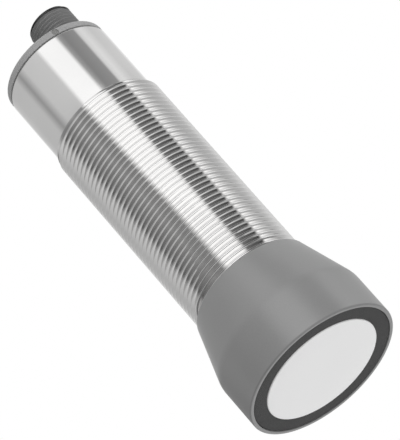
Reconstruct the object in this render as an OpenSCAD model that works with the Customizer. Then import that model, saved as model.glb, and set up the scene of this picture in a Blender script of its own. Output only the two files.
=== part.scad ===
// Cylindrical ultrasonic distance sensor with an M30 threaded barrel and an M12 plug connector.
// It stands on its sensing face: the origin is the centre of that face, +Z runs to the connector.

/* [Head] */
// Outside diameter of the moulded head
head_d = 40; // [38:0.5:46]
// Length of the head, from the sensing face to its rear edge
head_h = 27.4; // [26:0.2:36]
// Length of the straight part of the head, before the cone
head_straight_h = 12.4; // [11:0.1:15]
// How far the rear edge of the head stands out past the thread
neck_lip = 0.8; // [0.3:0.1:1.5]
// Wall of the head around the transducer
rim_wall = 1.0; // [0.8:0.1:2]
// Radius on the front edge of the head
rim_round = 0.4; // [0.2:0.1:0.6]
// Radius of the bend between the straight part and the cone
shoulder_round = 8; // [1:0.5:10]
// Radius on the rear edge of the head
neck_round = 0.6; // [0.1:0.1:0.8]
// Thickness of the wall between the transducer and the barrel
head_floor_t = 2.5; // [1.5:0.1:4]
// Width of the hole in that wall for the two leads
lead_passage_d = 8.4; // [8:0.2:12]

/* [Transducer] */
// Width of the dark foam ring
foam_wall = 3.65; // [2:0.05:6]
// How far the foam ring lies back from the sensing face
foam_recess = 0.2; // [0:0.05:0.6]
// Thickness of the foam behind the transducer
foam_back_t = 2; // [1:0.1:3]
// Width of the hole in the foam behind the transducer
foam_hole_d = 12; // [9:0.5:20]
// Thickness of the white matching layer
face_t = 5; // [3:0.1:6]
// Bevel on the edge of the white matching layer
face_bevel = 0.25; // [0.1:0.05:0.6]
// Diameter of the piezo disc
piezo_d = 25; // [16:0.5:27]
// Thickness of the piezo disc
piezo_t = 3; // [2:0.1:4]
// Thickness of the damping puck behind the piezo disc
puck_back_t = 3; // [1.5:0.1:4]
// Diameter of the two leads
lead_d = 0.7; // [0.4:0.1:1]
// Distance between the two leads across the board
lead_spacing = 5.6; // [3:0.2:6]

/* [Barrel] */
// Outside diameter of the barrel thread
thread_d = 30; // [29.5:0.1:36]
// Pitch of the barrel thread
thread_pitch = 1.5; // [1:0.25:2]
// Length of the threaded part
thread_h = 58.9; // [50:0.1:90]
// Length of the plain part behind the thread
plain_h = 19.9; // [12:0.1:40]
// Depth from the thread crest down to the plain part
plain_step = 0.85; // [0.8:0.05:1.2]
// Depth from the thread crest down to the spigot inside the head
spigot_step = 1.3; // [1.1:0.05:1.5]
// Thickness from the thread crest to the bore
barrel_wall = 2.8; // [2.6:0.05:3]
// Bevel on both ends of the barrel
barrel_bevel = 0.35; // [0.1:0.05:0.5]

/* [Seals] */
// Cord thickness of the seal ring inside the head
head_seal_cord = 1.0; // [0.8:0.05:1.1]
// Distance from the rear edge of the head to the middle of its seal
head_seal_inset = 4; // [2:0.1:6]
// Cord thickness of the seal ring on the end cap
cap_seal_cord = 0.9; // [0.7:0.05:1]
// Distance from the inner end of the cap plug to the middle of its seal
cap_seal_inset = 1.6; // [1:0.1:2.4]
// Cord thickness of the seal ring under the connector
connector_seal_cord = 0.9; // [0.7:0.05:1]

/* [End cap] */
// Depth from the thread crest in to the edge of the cap
cap_step = 1.0; // [0.8:0.05:1.6]
// Thickness of the visible part of the cap
cap_h = 2.4; // [1.8:0.1:5]
// Radius on the rear edge of the cap
cap_round = 0.7; // [0.2:0.1:1]
// Length of the plug that goes into the barrel
plug_h = 6.5; // [6:0.1:10]
// Height of the shadow groove between the cap and the barrel
groove_h = 0.4; // [0.2:0.05:0.6]
// Depth of the shadow groove
groove_t = 0.5; // [0.2:0.05:0.8]
// Diameter of the pocket that lightens the plug
pocket_d = 7.6; // [4:0.2:8]

/* [Connector] */
// Distance from the barrel axis to the connector axis
connector_x = 5.5; // [4.5:0.1:5.6]
// Outside diameter of the connector thread
connector_d = 11.7; // [11.6:0.1:12.2]
// Pitch of the connector thread
connector_pitch = 1; // [0.75:0.25:1.5]
// Length of the connector behind the cap
connector_h = 10.3; // [9:0.1:14]
// Length of the narrow run between the cap and the connector thread
relief_h = 1; // [0.4:0.1:2]
// Bevel on the open end of the connector
connector_bevel = 0.6; // [0.2:0.05:0.7]
// Diameter of the socket inside the connector
socket_d = 9.2; // [8.9:0.1:9.4]
// Depth of that socket
socket_depth = 8.6; // [7:0.1:9.6]
// Width of the coding key in the socket
key_w = 1.2; // [0.8:0.1:1.6]
// How far the coding key stands out of the socket wall
key_t = 0.8; // [0.5:0.05:0.9]
// Diameter of a contact pin
pin_d = 1; // [0.8:0.05:1.1]
// Diameter of the circle that the outer pins stand on
pin_circle_d = 7; // [6.4:0.1:7.2]
// How far the pin tips stay below the rim
pin_inset = 0.8; // [0.4:0.1:2]

/* [Board] */
// Thickness of the circuit board
board_t = 1.6; // [1:0.1:2]
// Distance from the front end of the barrel to the board
board_inset = 3; // [2:0.5:8]
// Distance from the rear end of the board to the potting
board_rear_gap = 4.2; // [4:0.1:8]
// Wall of the insulating sleeve
sleeve_wall = 0.8; // [0.5:0.05:0.9]
// Thickness of each guide rail inside the sleeve
rail_t = 1; // [0.6:0.1:1.5]
// How far the guide rails stand in over the board
rail_w = 1.6; // [1.2:0.1:2]
// Thickness of the potting under the cap
potting_h = 3; // [2:0.1:5]
// Diameter of a signal wire
wire_d = 1; // [0.6:0.05:1.1]
// Diameter of a light guide
guide_d = 1.6; // [1.2:0.1:2]

/* [Hidden] */
$fn = 64;

// Clearances: beside a piece, at the end of a piece, and beside a soft seal
fit_gap = 0.05;
seat_gap = 0.3;
seal_gap = 0.02;

// Heights of the transducer stack and the head, from the sensing face
piezo_z = face_t;
puck_top = piezo_z + piezo_t + puck_back_t;
chamber_top = puck_top + foam_back_t;
socket_z = chamber_top + head_floor_t;

// Radii of the head and the transducer
head_r = head_d / 2;
chamber_r = head_r - rim_wall;
foam_r = chamber_r - fit_gap;
foam_in_r = foam_r - foam_wall;
face_r = foam_in_r - fit_gap;
neck_r = thread_d / 2 + neck_lip;

// Radii of the barrel; a metric thread is 0.5413 pitches deep, with flat crests and roots
depth_per_pitch = 0.5413;
thread_r = thread_d / 2;
plain_r = thread_r - plain_step;
spigot_r = thread_r - spigot_step;
bore_r = thread_r - barrel_wall;

// Heights of the barrel, the cap and the connector
barrel_z = socket_z + seat_gap;
thread_top = head_h + thread_h;
barrel_top = thread_top + plain_h;
cap_top = barrel_top + cap_h;
plug_z = barrel_top - plug_h;
potting_z = plug_z - potting_h;
connector_top = cap_top + connector_h;

// Radii of the cap and the connector
cap_r = thread_r - cap_step;
plug_r = bore_r - fit_gap;
connector_r = connector_d / 2;
neck_step = 0.55;
shell_neck_r = connector_r - neck_step;
socket_r = socket_d / 2;
insert_r = socket_r - 0.2;
collar_step = 0.45;
collar_r = insert_r + collar_step;
collar_h = 1.2;
shell_neck_h = 4.4;
shell_z = cap_top - shell_neck_h;
seal_seat_z = shell_z - connector_seal_cord - 2 * seal_gap;
socket_floor_z = connector_top - socket_depth;
pin_bottom_z = seal_seat_z - collar_h - 0.6;
pin_top = connector_top - pin_inset;

// Where the five pins stand on the connector axis: four at the corners and one in the middle
PINS = [[45, 1], [135, 1], [225, 1], [315, 1], [0, 0]];
function pin_xy(i) = [
    connector_x + PINS[i][1] * pin_circle_d / 2 * cos(PINS[i][0]),
    PINS[i][1] * pin_circle_d / 2 * sin(PINS[i][0])];

// Insulating sleeve and board
sleeve_r = bore_r - fit_gap;
sleeve_in_r = sleeve_r - sleeve_wall;
sleeve_z = barrel_z + seat_gap;
sleeve_top = potting_z - fit_gap;
board_y = board_t / 2;
slot_y = board_y + fit_gap;
board_w = 2 * (sqrt(pow(sleeve_in_r, 2) - pow(slot_y, 2)) - fit_gap);
board_z = barrel_z + board_inset;
board_top = potting_z - board_rear_gap;
joint_z = 2.4;

// Places of the parts on the board, from its front end
transformer_at = 11;
amplifier_at = 14;
capacitor_at = 26;
controller_at = 30;
inductor_at = 37;
transistor_at = 48;
transistor_step = 9;
chips_at = 44;
chips_step = 4;
led_x = -2;
led_inset = 2;

// Light guides: they leave the cap at this angle on both sides of the connector
guide_angle = 68;
guide_r = guide_d / 2;
guide_circle_r = 9.6;
guide_bend = 0.7;

// A wire runs this far along the axis for each millimetre that it moves sideways
wire_slope = 2.6;

// Points of an arc, from one angle to another
function arc(cx, cy, r, from, to, steps = 6) =
    [for (i = [0 : steps]) let (t = from + (to - from) * i / steps) [cx + r * cos(t), cy + r * sin(t)]];

// Outline of thread rings, as [radius, height] points from the lower end up
function thread_outline(r, pitch, z, length) =
    let (depth = depth_per_pitch * pitch, count = floor(length / pitch), low = r - depth)
    [for (i = [0 : count - 1]) let (m = z + (i + 0.5) * pitch)
        each [[low, m - pitch * 3 / 8], [r, m - pitch / 16], [r, m + pitch / 16], [low, m + pitch * 3 / 8]]];

// A straight round bar from one point to another
module bar(p, q, r) {
    d = q - p;
    length = norm(d);
    translate(p) rotate([0, acos(d[2] / length), atan2(d[1], d[0])]) cylinder(h = length, r = r);
}

// A bent round bar through a list of points, with a ball a little thicker than the bar in each bend
module bent_bar(points, r) {
    ball = 1.03;
    for (i = [0 : len(points) - 2]) bar(points[i], points[i + 1], r);
    for (i = [1 : 1 : len(points) - 2]) translate(points[i]) rotate([25, 0, 40]) sphere(r * ball);
}

// A ring of round cord around the vertical axis
module cord_ring(r, cord, z) {
    translate([0, 0, z]) rotate_extrude() translate([r, 0]) circle(d = cord);
}

// Turns a thing that stands on the upper side of the board onto its side, at a place on the board
module on_board(x, from_front, side) {
    translate([x, 0, board_z + from_front]) rotate([0, 0, side > 0 ? 0 : 180])
        translate([0, board_y, 0]) rotate([-90, 0, 0]) children();
}

// Grey moulded head: the chamber for the transducer in front, the socket for the barrel behind
module head_housing() {
    cone_angle = atan2(head_r - neck_r, head_h - head_straight_h);
    reach = shoulder_round * tan(cone_angle / 2);
    color([0.55, 0.55, 0.55]) difference() {
        rotate_extrude() polygon(concat(
            [[0, 0]],
            arc(head_r - rim_round, rim_round, rim_round, -90, 0),
            arc(head_r - shoulder_round, head_straight_h - reach, shoulder_round, 0, cone_angle),
            arc(neck_r - neck_round, head_h - neck_round, neck_round, cone_angle, 90),
            [[0, head_h]]));
        translate([0, 0, -1]) cylinder(h = chamber_top + 1, r = chamber_r);
        cylinder(h = head_h, d = lead_passage_d);
        translate([0, 0, socket_z]) cylinder(h = head_h, r = spigot_r + fit_gap);
    }
}

// White matching layer: the disc that sends and receives the sound
module matching_layer() {
    color([0.93, 0.93, 0.92]) rotate_extrude() polygon([[0, 0], [face_r - face_bevel, 0],
        [face_r, face_bevel], [face_r, face_t], [0, face_t]]);
}

// Dark foam cup: the visible ring, with a flange behind the transducer
module decoupling_ring() {
    color([0.25, 0.25, 0.26]) rotate_extrude() polygon([[foam_in_r, foam_recess], [foam_r, foam_recess],
        [foam_r, chamber_top], [foam_hole_d / 2, chamber_top], [foam_hole_d / 2, puck_top],
        [foam_in_r, puck_top]]);
}

// Piezo disc, glued to the back of the matching layer
module piezo_disc() {
    color([0.80, 0.78, 0.72]) translate([0, 0, piezo_z]) cylinder(h = piezo_t, d = piezo_d);
}

// Cast damping puck, which holds the piezo disc in a pocket
module damping_puck() {
    color([0.35, 0.30, 0.28]) difference() {
        translate([0, 0, piezo_z]) cylinder(h = puck_top - piezo_z, r = face_r);
        translate([0, 0, piezo_z - 1]) cylinder(h = piezo_t + 1, d = piezo_d + 2 * fit_gap);
        for (side = [-1, 1]) translate([side * lead_spacing / 2, side * lead_y(), 0])
            cylinder(h = puck_top + 1, d = lead_d + 2 * fit_gap);
    }
}

// The leads lie on the two faces of the board
function lead_y() = board_y + lead_d / 2;

// One lead, from the back of the piezo disc to a pad at the front of the board
module transducer_lead(side) {
    color(side > 0 ? [0.75, 0.15, 0.12] : [0.15, 0.15, 0.16])
        translate([side * lead_spacing / 2, side * lead_y(), piezo_z + piezo_t])
            cylinder(h = board_z + joint_z - piezo_z - piezo_t, d = lead_d);
}

// Seal ring between the barrel spigot and the head
module head_seal() {
    color([0.10, 0.10, 0.10]) cord_ring(spigot_r + fit_gap - seal_gap - head_seal_cord / 2,
        head_seal_cord, head_h - head_seal_inset);
}

// Nickel-plated barrel: spigot, thread, plain part and bore, turned from one bar
module threaded_barrel() {
    root_r = thread_r - depth_per_pitch * thread_pitch;
    groove_r = spigot_r + fit_gap - head_seal_cord - 2 * seal_gap;
    half_groove = head_seal_cord / 2 + seal_gap;
    groove_z = head_h - head_seal_inset;
    color([0.78, 0.78, 0.76]) rotate_extrude() polygon(concat(
        [[bore_r, barrel_z], [spigot_r - barrel_bevel, barrel_z], [spigot_r, barrel_z + barrel_bevel],
            [spigot_r, groove_z - half_groove], [groove_r, groove_z - half_groove],
            [groove_r, groove_z + half_groove], [spigot_r, groove_z + half_groove],
            [spigot_r, head_h], [root_r, head_h]],
        thread_outline(thread_r, thread_pitch, head_h, thread_h),
        [[root_r, thread_top], [plain_r, thread_top], [plain_r, barrel_top - barrel_bevel],
            [plain_r - barrel_bevel, barrel_top], [bore_r, barrel_top]]));
}

// Thin plastic sleeve that lines the bore, with two pairs of rails for the board
module insulating_sleeve() {
    h = sleeve_top - sleeve_z;
    color([0.85, 0.83, 0.72, 0.6]) translate([0, 0, sleeve_z]) union() {
        difference() {
            cylinder(h = h, r = sleeve_r);
            translate([0, 0, -1]) cylinder(h = h + 2, r = sleeve_in_r);
        }
        intersection() {
            cylinder(h = h, r = sleeve_r - sleeve_wall / 2);
            for (side = [-1, 1], face = [-1, 1])
                translate([side * (sleeve_in_r - rail_w + sleeve_r) / 2, face * (slot_y + rail_t / 2), h / 2])
                    cube([sleeve_r - sleeve_in_r + rail_w, rail_t, h], center = true);
        }
    }
}

// Circuit board, which stands along the axis
module circuit_board() {
    color([0.10, 0.38, 0.20]) translate([0, 0, (board_z + board_top) / 2])
        cube([board_w, board_t, board_top - board_z], center = true);
}

// Sizes of the step-up transformer
core_w = 12;
core_l = 12;
core_t = 4;
core_leg = 1.6;
core_middle = 3.6;
spool_l = 8.6;
spool_wall = 0.5;
spool_w = 8.2;
foot_h = 1;

// Ferrite core: an outer frame and a middle leg
module transformer_core() {
    window_w = (core_w - core_middle) / 2 - core_leg;
    color([0.22, 0.21, 0.21]) on_board(0, transformer_at, 1) translate([0, 0, foot_h + spool_w / 2])
        difference() {
            cube([core_w, core_l, core_t], center = true);
            for (side = [-1, 1]) translate([side * (core_middle + window_w) / 2, 0, 0])
                cube([window_w, core_l - 2 * core_leg, core_t + 1], center = true);
        }
}

// Coil former: a square tube with two flanges, which stands on two feet
module transformer_bobbin() {
    hole = [core_middle + 2 * fit_gap, spool_l + 1, core_t + 2 * fit_gap];
    color([0.15, 0.25, 0.18]) on_board(0, transformer_at, 1) translate([0, 0, foot_h + spool_w / 2])
        difference() {
            union() {
                cube([hole[0] + 2 * spool_wall, spool_l, hole[2] + 2 * spool_wall], center = true);
                for (end = [-1, 1]) translate([0, end * (spool_l - spool_wall) / 2, 0])
                    cube([spool_w - 0.4, spool_wall, spool_w], center = true);
                for (end = [-1, 1]) translate([0, end * (spool_l - spool_wall) / 2, -(spool_w + foot_h) / 2])
                    cube([spool_w - 0.4, spool_wall, foot_h], center = true);
            }
            cube(hole, center = true);
        }
}

// Copper winding on the coil former
module transformer_winding() {
    inner = [core_middle + 2 * spool_wall + 4 * fit_gap, core_t + 2 * spool_wall + 4 * fit_gap];
    length = spool_l - 2 * spool_wall - 2 * fit_gap;
    color([0.72, 0.42, 0.22]) on_board(0, transformer_at, 1) translate([0, 0, foot_h + spool_w / 2])
        difference() {
            cube([inner[0] + 2.2, length, spool_w - 1], center = true);
            cube([inner[0], length + 1, inner[1]], center = true);
        }
}

// Storage capacitor: a can with a groove, on a square base
module storage_capacitor() {
    can_r = 4;
    can_h = 7.4;
    base_h = 1;
    color([0.70, 0.70, 0.72]) on_board(0, capacitor_at, 1) union() {
        translate([0, 0, base_h / 2]) cube([8.3, 8.3, base_h], center = true);
        rotate_extrude() polygon([[0, base_h / 2], [can_r, base_h / 2], [can_r, 2.2], [can_r - 0.35, 2.5],
            [can_r, 2.8], [can_r, can_h - 0.5], [can_r - 0.5, can_h], [0, can_h]]);
    }
}

// Shielded power inductor: a square case around a round core
module power_inductor() {
    case = [7, 7, 3.2];
    color([0.28, 0.28, 0.30]) on_board(0, inductor_at, 1) difference() {
        translate([0, 0, case[2] / 2]) cube(case, center = true);
        translate([0, 0, case[2] - 0.4]) difference() {
            cylinder(h = 1, d = 5.8);
            translate([0, 0, -1]) cylinder(h = 3, d = 4.6);
        }
    }
}

// Sizes of the chip cases, and of their leads, which lift a case off the board
lead_w = 0.35;
lead_l = 0.9;
lead_h = 0.4;
case_lift = 0.2;
controller_w = 7;
controller_t = 1.3;
controller_lead_step = 0.8;
amplifier_w = 5;
amplifier_l = 4;
amplifier_t = 1.4;
amplifier_lead_step = 1.27;

// A chip case with rows of leads on two sides, or on all four
module chip(w, l, h, leads, lead_step, all_sides) {
    bite = lead_w / 2;
    union() {
        translate([0, 0, case_lift + h / 2]) cube([w, l, h], center = true);
        for (turn = all_sides ? [0, 90] : [0], side = [-1, 1], i = [0 : leads - 1])
            rotate([0, 0, turn])
                translate([(i - (leads - 1) / 2) * lead_step, side * (l + lead_l - bite) / 2, lead_h / 2])
                    cube([lead_w, lead_l + bite, lead_h], center = true);
    }
}

// Microcontroller, in a square case
module microcontroller() {
    color([0.14, 0.14, 0.15]) on_board(0, controller_at, -1) chip(controller_w, controller_w, controller_t, 8,
        controller_lead_step, true);
}

// Amplifier for the echo signal
module echo_amplifier() {
    color([0.14, 0.14, 0.15]) on_board(0, amplifier_at, -1) chip(amplifier_w, amplifier_l, amplifier_t, 4,
        amplifier_lead_step, false);
}

// Sizes of an output transistor: its case, its cooling tab and its three leads
transistor_w = 6.4;
transistor_l = 3.5;
transistor_t = 1.6;
transistor_lift = 0.1;
tab_w = 3;
tab_t = 0.5;
tab_reach = 1.25;
transistor_lead_w = 0.7;
transistor_lead_step = 2.3;

// Two output transistors with cooling tabs
module output_transistors() {
    bite = tab_reach / 4;
    y = (transistor_l + tab_reach - bite) / 2;
    color([0.16, 0.16, 0.17]) for (i = [0, 1]) on_board(0, transistor_at + i * transistor_step, -1) union() {
        translate([0, 0, transistor_lift + transistor_t / 2])
            cube([transistor_w, transistor_l, transistor_t], center = true);
        translate([0, y, tab_t / 2]) cube([tab_w, tab_reach + bite, tab_t], center = true);
        for (x = [-1, 0, 1]) translate([x * transistor_lead_step, -y, lead_h / 2])
            cube([transistor_lead_w, tab_reach + bite, lead_h], center = true);
    }
}

// Sizes of a small chip part, and its distances from the middle of the board
small_w = 1.3;
small_l = 2;
small_t = 0.7;
small_x1 = 4.6;
small_x2 = 6.8;

// Small resistors and capacitors on both faces of the board
module chip_parts() {
    columns = [-small_x2, -small_x1, small_x1, small_x2];
    color([0.72, 0.62, 0.48]) for (side = [-1, 1], x = columns, i = [0 : 3])
        on_board(x, chips_at + i * chips_step + (side < 0 ? small_l / 4 : 0), side)
            translate([0, 0, small_t / 2]) cube([small_w, small_l, small_t], center = true);
}

// Sizes of the side-looking indicator light
led_size = [3, 1.8, 2.2];

// Indicator light at the rear end of the board, one on each face
module indicator_led(side) {
    color([0.90, 0.75, 0.25]) on_board(led_x, board_top - board_z - led_inset, side) union() {
        translate([0, 0, led_size[2] / 2]) cube(led_size, center = true);
        translate([0, -led_size[1] / 2, led_size[2] / 2]) sphere(d = 1.2);
    }
}

// Points along a light guide: from the lamp, out to the wall, up through the cap and out at its edge
function guide_points(side) =
    let (dir = [cos(guide_angle), side * sin(guide_angle)], z = barrel_top + groove_h + guide_r)
    [[led_x, side * (board_y + led_size[2] / 2), board_top + guide_r],
        concat(dir * guide_circle_r, potting_z - guide_bend),
        concat(dir * guide_circle_r, z),
        concat(dir * (cap_r - 0.15), z)];

// Clear light guide
module light_guide(side) {
    color([0.85, 0.80, 0.60, 0.8]) bent_bar(guide_points(side), guide_r);
}

// The path that a light guide leaves free in the potting and in the cap
module guide_way(side) {
    p = guide_points(side);
    bent_bar([p[1], p[2], p[3] + (p[3] - p[2])], guide_r + fit_gap);
}

// Potting between the board and the cap, cast around the wires and the light guides
module potting_plug() {
    color([0.20, 0.22, 0.26]) difference() {
        translate([0, 0, potting_z]) cylinder(h = potting_h, r = plug_r);
        for (i = [0 : 4]) translate(concat(pin_xy(i), potting_z - 1))
            cylinder(h = potting_h + 2, d = wire_d + 2 * fit_gap);
        for (side = [-1, 1]) guide_way(side);
    }
}

// Grey end cap: a plug for the barrel, a shadow groove and a rounded rear edge
module end_cap() {
    seal_z = plug_z + cap_seal_inset;
    half_groove = cap_seal_cord / 2 + seal_gap;
    seal_r = bore_r - cap_seal_cord - 2 * seal_gap;
    color([0.60, 0.60, 0.60]) difference() {
        rotate_extrude() polygon(concat(
            [[0, plug_z], [plug_r - barrel_bevel, plug_z], [plug_r, plug_z + barrel_bevel],
                [plug_r, seal_z - half_groove], [seal_r, seal_z - half_groove],
                [seal_r, seal_z + half_groove], [plug_r, seal_z + half_groove],
                [plug_r, barrel_top], [cap_r - groove_t, barrel_top],
                [cap_r - groove_t, barrel_top + groove_h], [cap_r, barrel_top + groove_h]],
            arc(cap_r - cap_round, cap_top - cap_round, cap_round, 0, 90),
            [[0, cap_top]]));
        translate([connector_x, 0, plug_z - 1]) cylinder(h = plug_h + cap_h + 2, r = collar_r + fit_gap);
        translate([connector_x, 0, seal_seat_z]) cylinder(h = plug_h + cap_h, r = shell_neck_r + fit_gap);
        translate([-guide_circle_r / 2 - 1, 0, plug_z - 1]) cylinder(h = plug_h - 0.5, d = pocket_d);
        for (side = [-1, 1]) guide_way(side);
    }
}

// Seal ring between the cap plug and the bore
module cap_seal() {
    color([0.10, 0.10, 0.10]) cord_ring(bore_r - seal_gap - cap_seal_cord / 2, cap_seal_cord,
        plug_z + cap_seal_inset);
}

// Dark connector shell with its fine thread, the socket and the coding key
module connector_shell() {
    root_r = connector_r - depth_per_pitch * connector_pitch;
    thread_z = cap_top + relief_h;
    turns = floor((connector_h - relief_h - connector_bevel) / connector_pitch - 0.5);
    land_z = thread_z + turns * connector_pitch;
    color([0.40, 0.40, 0.41]) translate([connector_x, 0, 0]) union() {
        difference() {
            rotate_extrude() polygon(concat(
                [[0, shell_z], [shell_neck_r, shell_z], [shell_neck_r, cap_top], [root_r, cap_top]],
                thread_outline(connector_r, connector_pitch, thread_z, (turns + 0.01) * connector_pitch),
                [[root_r, land_z + connector_pitch / 8], [connector_r, land_z + connector_pitch * 7 / 16],
                    [connector_r, connector_top - connector_bevel],
                    [connector_r - connector_bevel, connector_top], [0, connector_top]]));
            translate([0, 0, shell_z - 1]) cylinder(h = connector_h + shell_neck_h + 2, r = insert_r + fit_gap);
            translate([0, 0, socket_floor_z]) cylinder(h = socket_depth + 1, r = socket_r);
        }
        intersection() {
            translate([socket_r - key_t, -key_w / 2, socket_floor_z])
                cube([key_t + 0.4, key_w, socket_depth - 1]);
            cylinder(h = connector_top, r = socket_r + 0.2);
        }
    }
}

// Seal ring under the connector shell
module connector_seal() {
    color([0.10, 0.10, 0.10]) translate([connector_x, 0, 0])
        cord_ring(insert_r + fit_gap + connector_seal_cord / 2, connector_seal_cord,
            seal_seat_z + seal_gap + connector_seal_cord / 2);
}

// Contact carrier: a body in the shell and a collar that stops under it
module connector_insert() {
    color([0.12, 0.12, 0.13]) difference() {
        translate([connector_x, 0, 0]) rotate_extrude() polygon([[0, seal_seat_z - collar_h],
            [collar_r, seal_seat_z - collar_h], [collar_r, seal_seat_z], [insert_r, seal_seat_z],
            [insert_r, socket_floor_z], [0, socket_floor_z]]);
        for (i = [0 : 4]) translate(concat(pin_xy(i), pin_bottom_z - 1))
            cylinder(h = pin_top, d = pin_d + 2 * seal_gap);
    }
}

// One contact pin with a rounded tip
module contact_pin(i) {
    tip = pin_d / 4;
    color([0.85, 0.72, 0.40]) translate(concat(pin_xy(i), 0)) rotate_extrude() polygon(concat(
        [[0, pin_bottom_z], [pin_d / 2, pin_bottom_z]],
        arc(pin_d / 2 - tip, pin_top - tip, tip, 0, 90, 4),
        [[0, pin_top]]));
}

// Colours of the five wires
WIRE_COLOURS = [[0.45, 0.28, 0.15], [0.92, 0.92, 0.90], [0.15, 0.30, 0.70], [0.12, 0.12, 0.12],
    [0.50, 0.50, 0.52]];

// One signal wire, from the bottom of its pin down to its pad on the board
module signal_wire(i) {
    xy = pin_xy(i);
    side = xy[1] < -0.1 ? -1 : 1;
    pad_y = side * (board_y + wire_d / 2);
    bend_z = potting_z - guide_bend;
    pad_z = bend_z - wire_slope * abs(pad_y - xy[1]);
    color(WIRE_COLOURS[i]) bent_bar([concat(xy, pin_bottom_z), concat(xy, bend_z),
        [xy[0], pad_y, pad_z], [xy[0], pad_y, pad_z - joint_z]], wire_d / 2);
}

head_housing();
matching_layer();
decoupling_ring();
piezo_disc();
damping_puck();
transducer_lead(1);  // transducer_lead_1
transducer_lead(-1);  // transducer_lead_2
head_seal();
threaded_barrel();
insulating_sleeve();
circuit_board();
transformer_core();
transformer_bobbin();
transformer_winding();
storage_capacitor();
power_inductor();
microcontroller();
echo_amplifier();
output_transistors();
chip_parts();
indicator_led(1);  // indicator_led_1
indicator_led(-1);  // indicator_led_2
light_guide(1);  // light_guide_1
light_guide(-1);  // light_guide_2
potting_plug();
end_cap();
cap_seal();
connector_shell();
connector_seal();
connector_insert();
contact_pin(0);  // contact_pin_1
contact_pin(1);  // contact_pin_2
contact_pin(2);  // contact_pin_3
contact_pin(3);  // contact_pin_4
contact_pin(4);  // contact_pin_5
signal_wire(0);  // signal_wire_1
signal_wire(1);  // signal_wire_2
signal_wire(2);  // signal_wire_3
signal_wire(3);  // signal_wire_4
signal_wire(4);  // signal_wire_5
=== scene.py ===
# %% [markdown]
# # An ultrasonic distance sensor
# A nickel-plated tube with a metric thread is held in a plate by two nuts. A grey moulded head sits on
# its front end, with a white sounding face in a ring of dark foam, and a grey cap with a small threaded
# plug connector closes the rear end. The solids come from a fixed frame. This lesson keeps its sizes,
# models again the pieces whose surfaces the eye sees, and gives every piece its finish.

# %% Load the frame
import math

import bpy
from mathutils import Matrix, Vector


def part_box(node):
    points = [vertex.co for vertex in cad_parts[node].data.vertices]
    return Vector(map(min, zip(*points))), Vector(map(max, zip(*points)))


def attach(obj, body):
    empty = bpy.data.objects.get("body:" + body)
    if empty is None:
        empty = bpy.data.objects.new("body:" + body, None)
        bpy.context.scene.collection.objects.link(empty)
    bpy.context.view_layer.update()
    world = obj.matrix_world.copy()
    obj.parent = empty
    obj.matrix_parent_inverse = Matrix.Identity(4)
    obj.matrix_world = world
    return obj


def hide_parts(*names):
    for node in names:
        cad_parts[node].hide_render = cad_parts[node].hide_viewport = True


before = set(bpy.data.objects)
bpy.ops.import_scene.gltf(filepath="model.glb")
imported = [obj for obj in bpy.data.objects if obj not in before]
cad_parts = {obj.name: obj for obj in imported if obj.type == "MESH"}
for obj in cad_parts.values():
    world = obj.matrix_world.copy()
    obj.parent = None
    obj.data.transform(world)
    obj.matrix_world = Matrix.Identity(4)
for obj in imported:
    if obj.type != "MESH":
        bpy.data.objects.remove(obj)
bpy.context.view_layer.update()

# %% [markdown]
# ## The camera
# The picture was taken with a long lens, from in front of the sensing face and below it, and the camera
# was rolled, so that the barrel runs from the upper left to the lower right. Instead of three angles it
# is easier to give the point that it looks at and the direction that is to the right in the picture.

# %% Place the camera
MM = 0.001
CAMERA_PLACE = Vector((2.69, -801.4, -404.53)) * MM
CAMERA_TARGET = Vector((1.575, 0.0, 50.32)) * MM
CAMERA_RIGHT = Vector((0.7508, 0.3262, -0.5743))
LENS = 324.65
NEAREST, FURTHEST = 0.05, 20

bpy.ops.object.camera_add(location=CAMERA_PLACE)
camera = bpy.context.object
camera.name = "photo_camera"
behind = (CAMERA_PLACE - CAMERA_TARGET).normalized()
right = (CAMERA_RIGHT - behind * CAMERA_RIGHT.dot(behind)).normalized()
turned = Matrix((right, behind.cross(right), behind)).transposed()
camera.matrix_world = Matrix.Translation(CAMERA_PLACE) @ turned.to_4x4()
camera.data.lens = LENS
camera.data.clip_start, camera.data.clip_end = NEAREST, FURTHEST
bpy.context.scene.camera = camera
print("camera stands", round((CAMERA_PLACE - CAMERA_TARGET).length, 3), "m away")

# %% [markdown]
# ## The background
# The picture has a plain white ground, so the world is white at a strength of 1. The view transform is
# Standard, which shows colours as they are written.

# %% A white world
world = bpy.data.worlds.new("white_room")
world.use_nodes = True
background = world.node_tree.nodes["Background"].inputs
background["Color"].default_value, background["Strength"].default_value = (1, 1, 1, 1), 1
bpy.context.scene.world = world
bpy.context.scene.view_settings.view_transform = "Standard"
print("world:", world.name)

# %% [markdown]
# ## The workbench
# Most tools work on what is selected, so the same few moves come before each of them: leave the last
# piece, take the next one alone, and open its mesh. A modifier is applied as soon as it is set, so
# that the mesh itself is what is kept.

# %% Helpers for the moves that repeat


def leave_selection():
    """Object mode, with nothing selected."""
    if bpy.context.object and bpy.context.object.mode != "OBJECT":
        bpy.ops.object.mode_set(mode="OBJECT")
    bpy.ops.object.select_all(action="DESELECT")


def take(piece):
    """Selects one piece alone and makes it active."""
    leave_selection()
    piece.select_set(True)
    bpy.context.view_layer.objects.active = piece


def open_mesh(piece):
    """Edit mode on one piece, with all of its mesh selected."""
    take(piece)
    bpy.ops.object.mode_set(mode="EDIT")
    bpy.ops.mesh.select_mode(type="VERT")
    bpy.ops.mesh.select_all(action="SELECT")


def apply_modifier(piece, kind, **settings):
    """Adds a modifier to the active piece, sets it and applies it."""
    bpy.ops.object.modifier_add(type=kind)
    step = piece.modifiers[-1]
    for name, value in settings.items():
        setattr(step, name, value)
    bpy.ops.object.modifier_apply(modifier=step.name)


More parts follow.
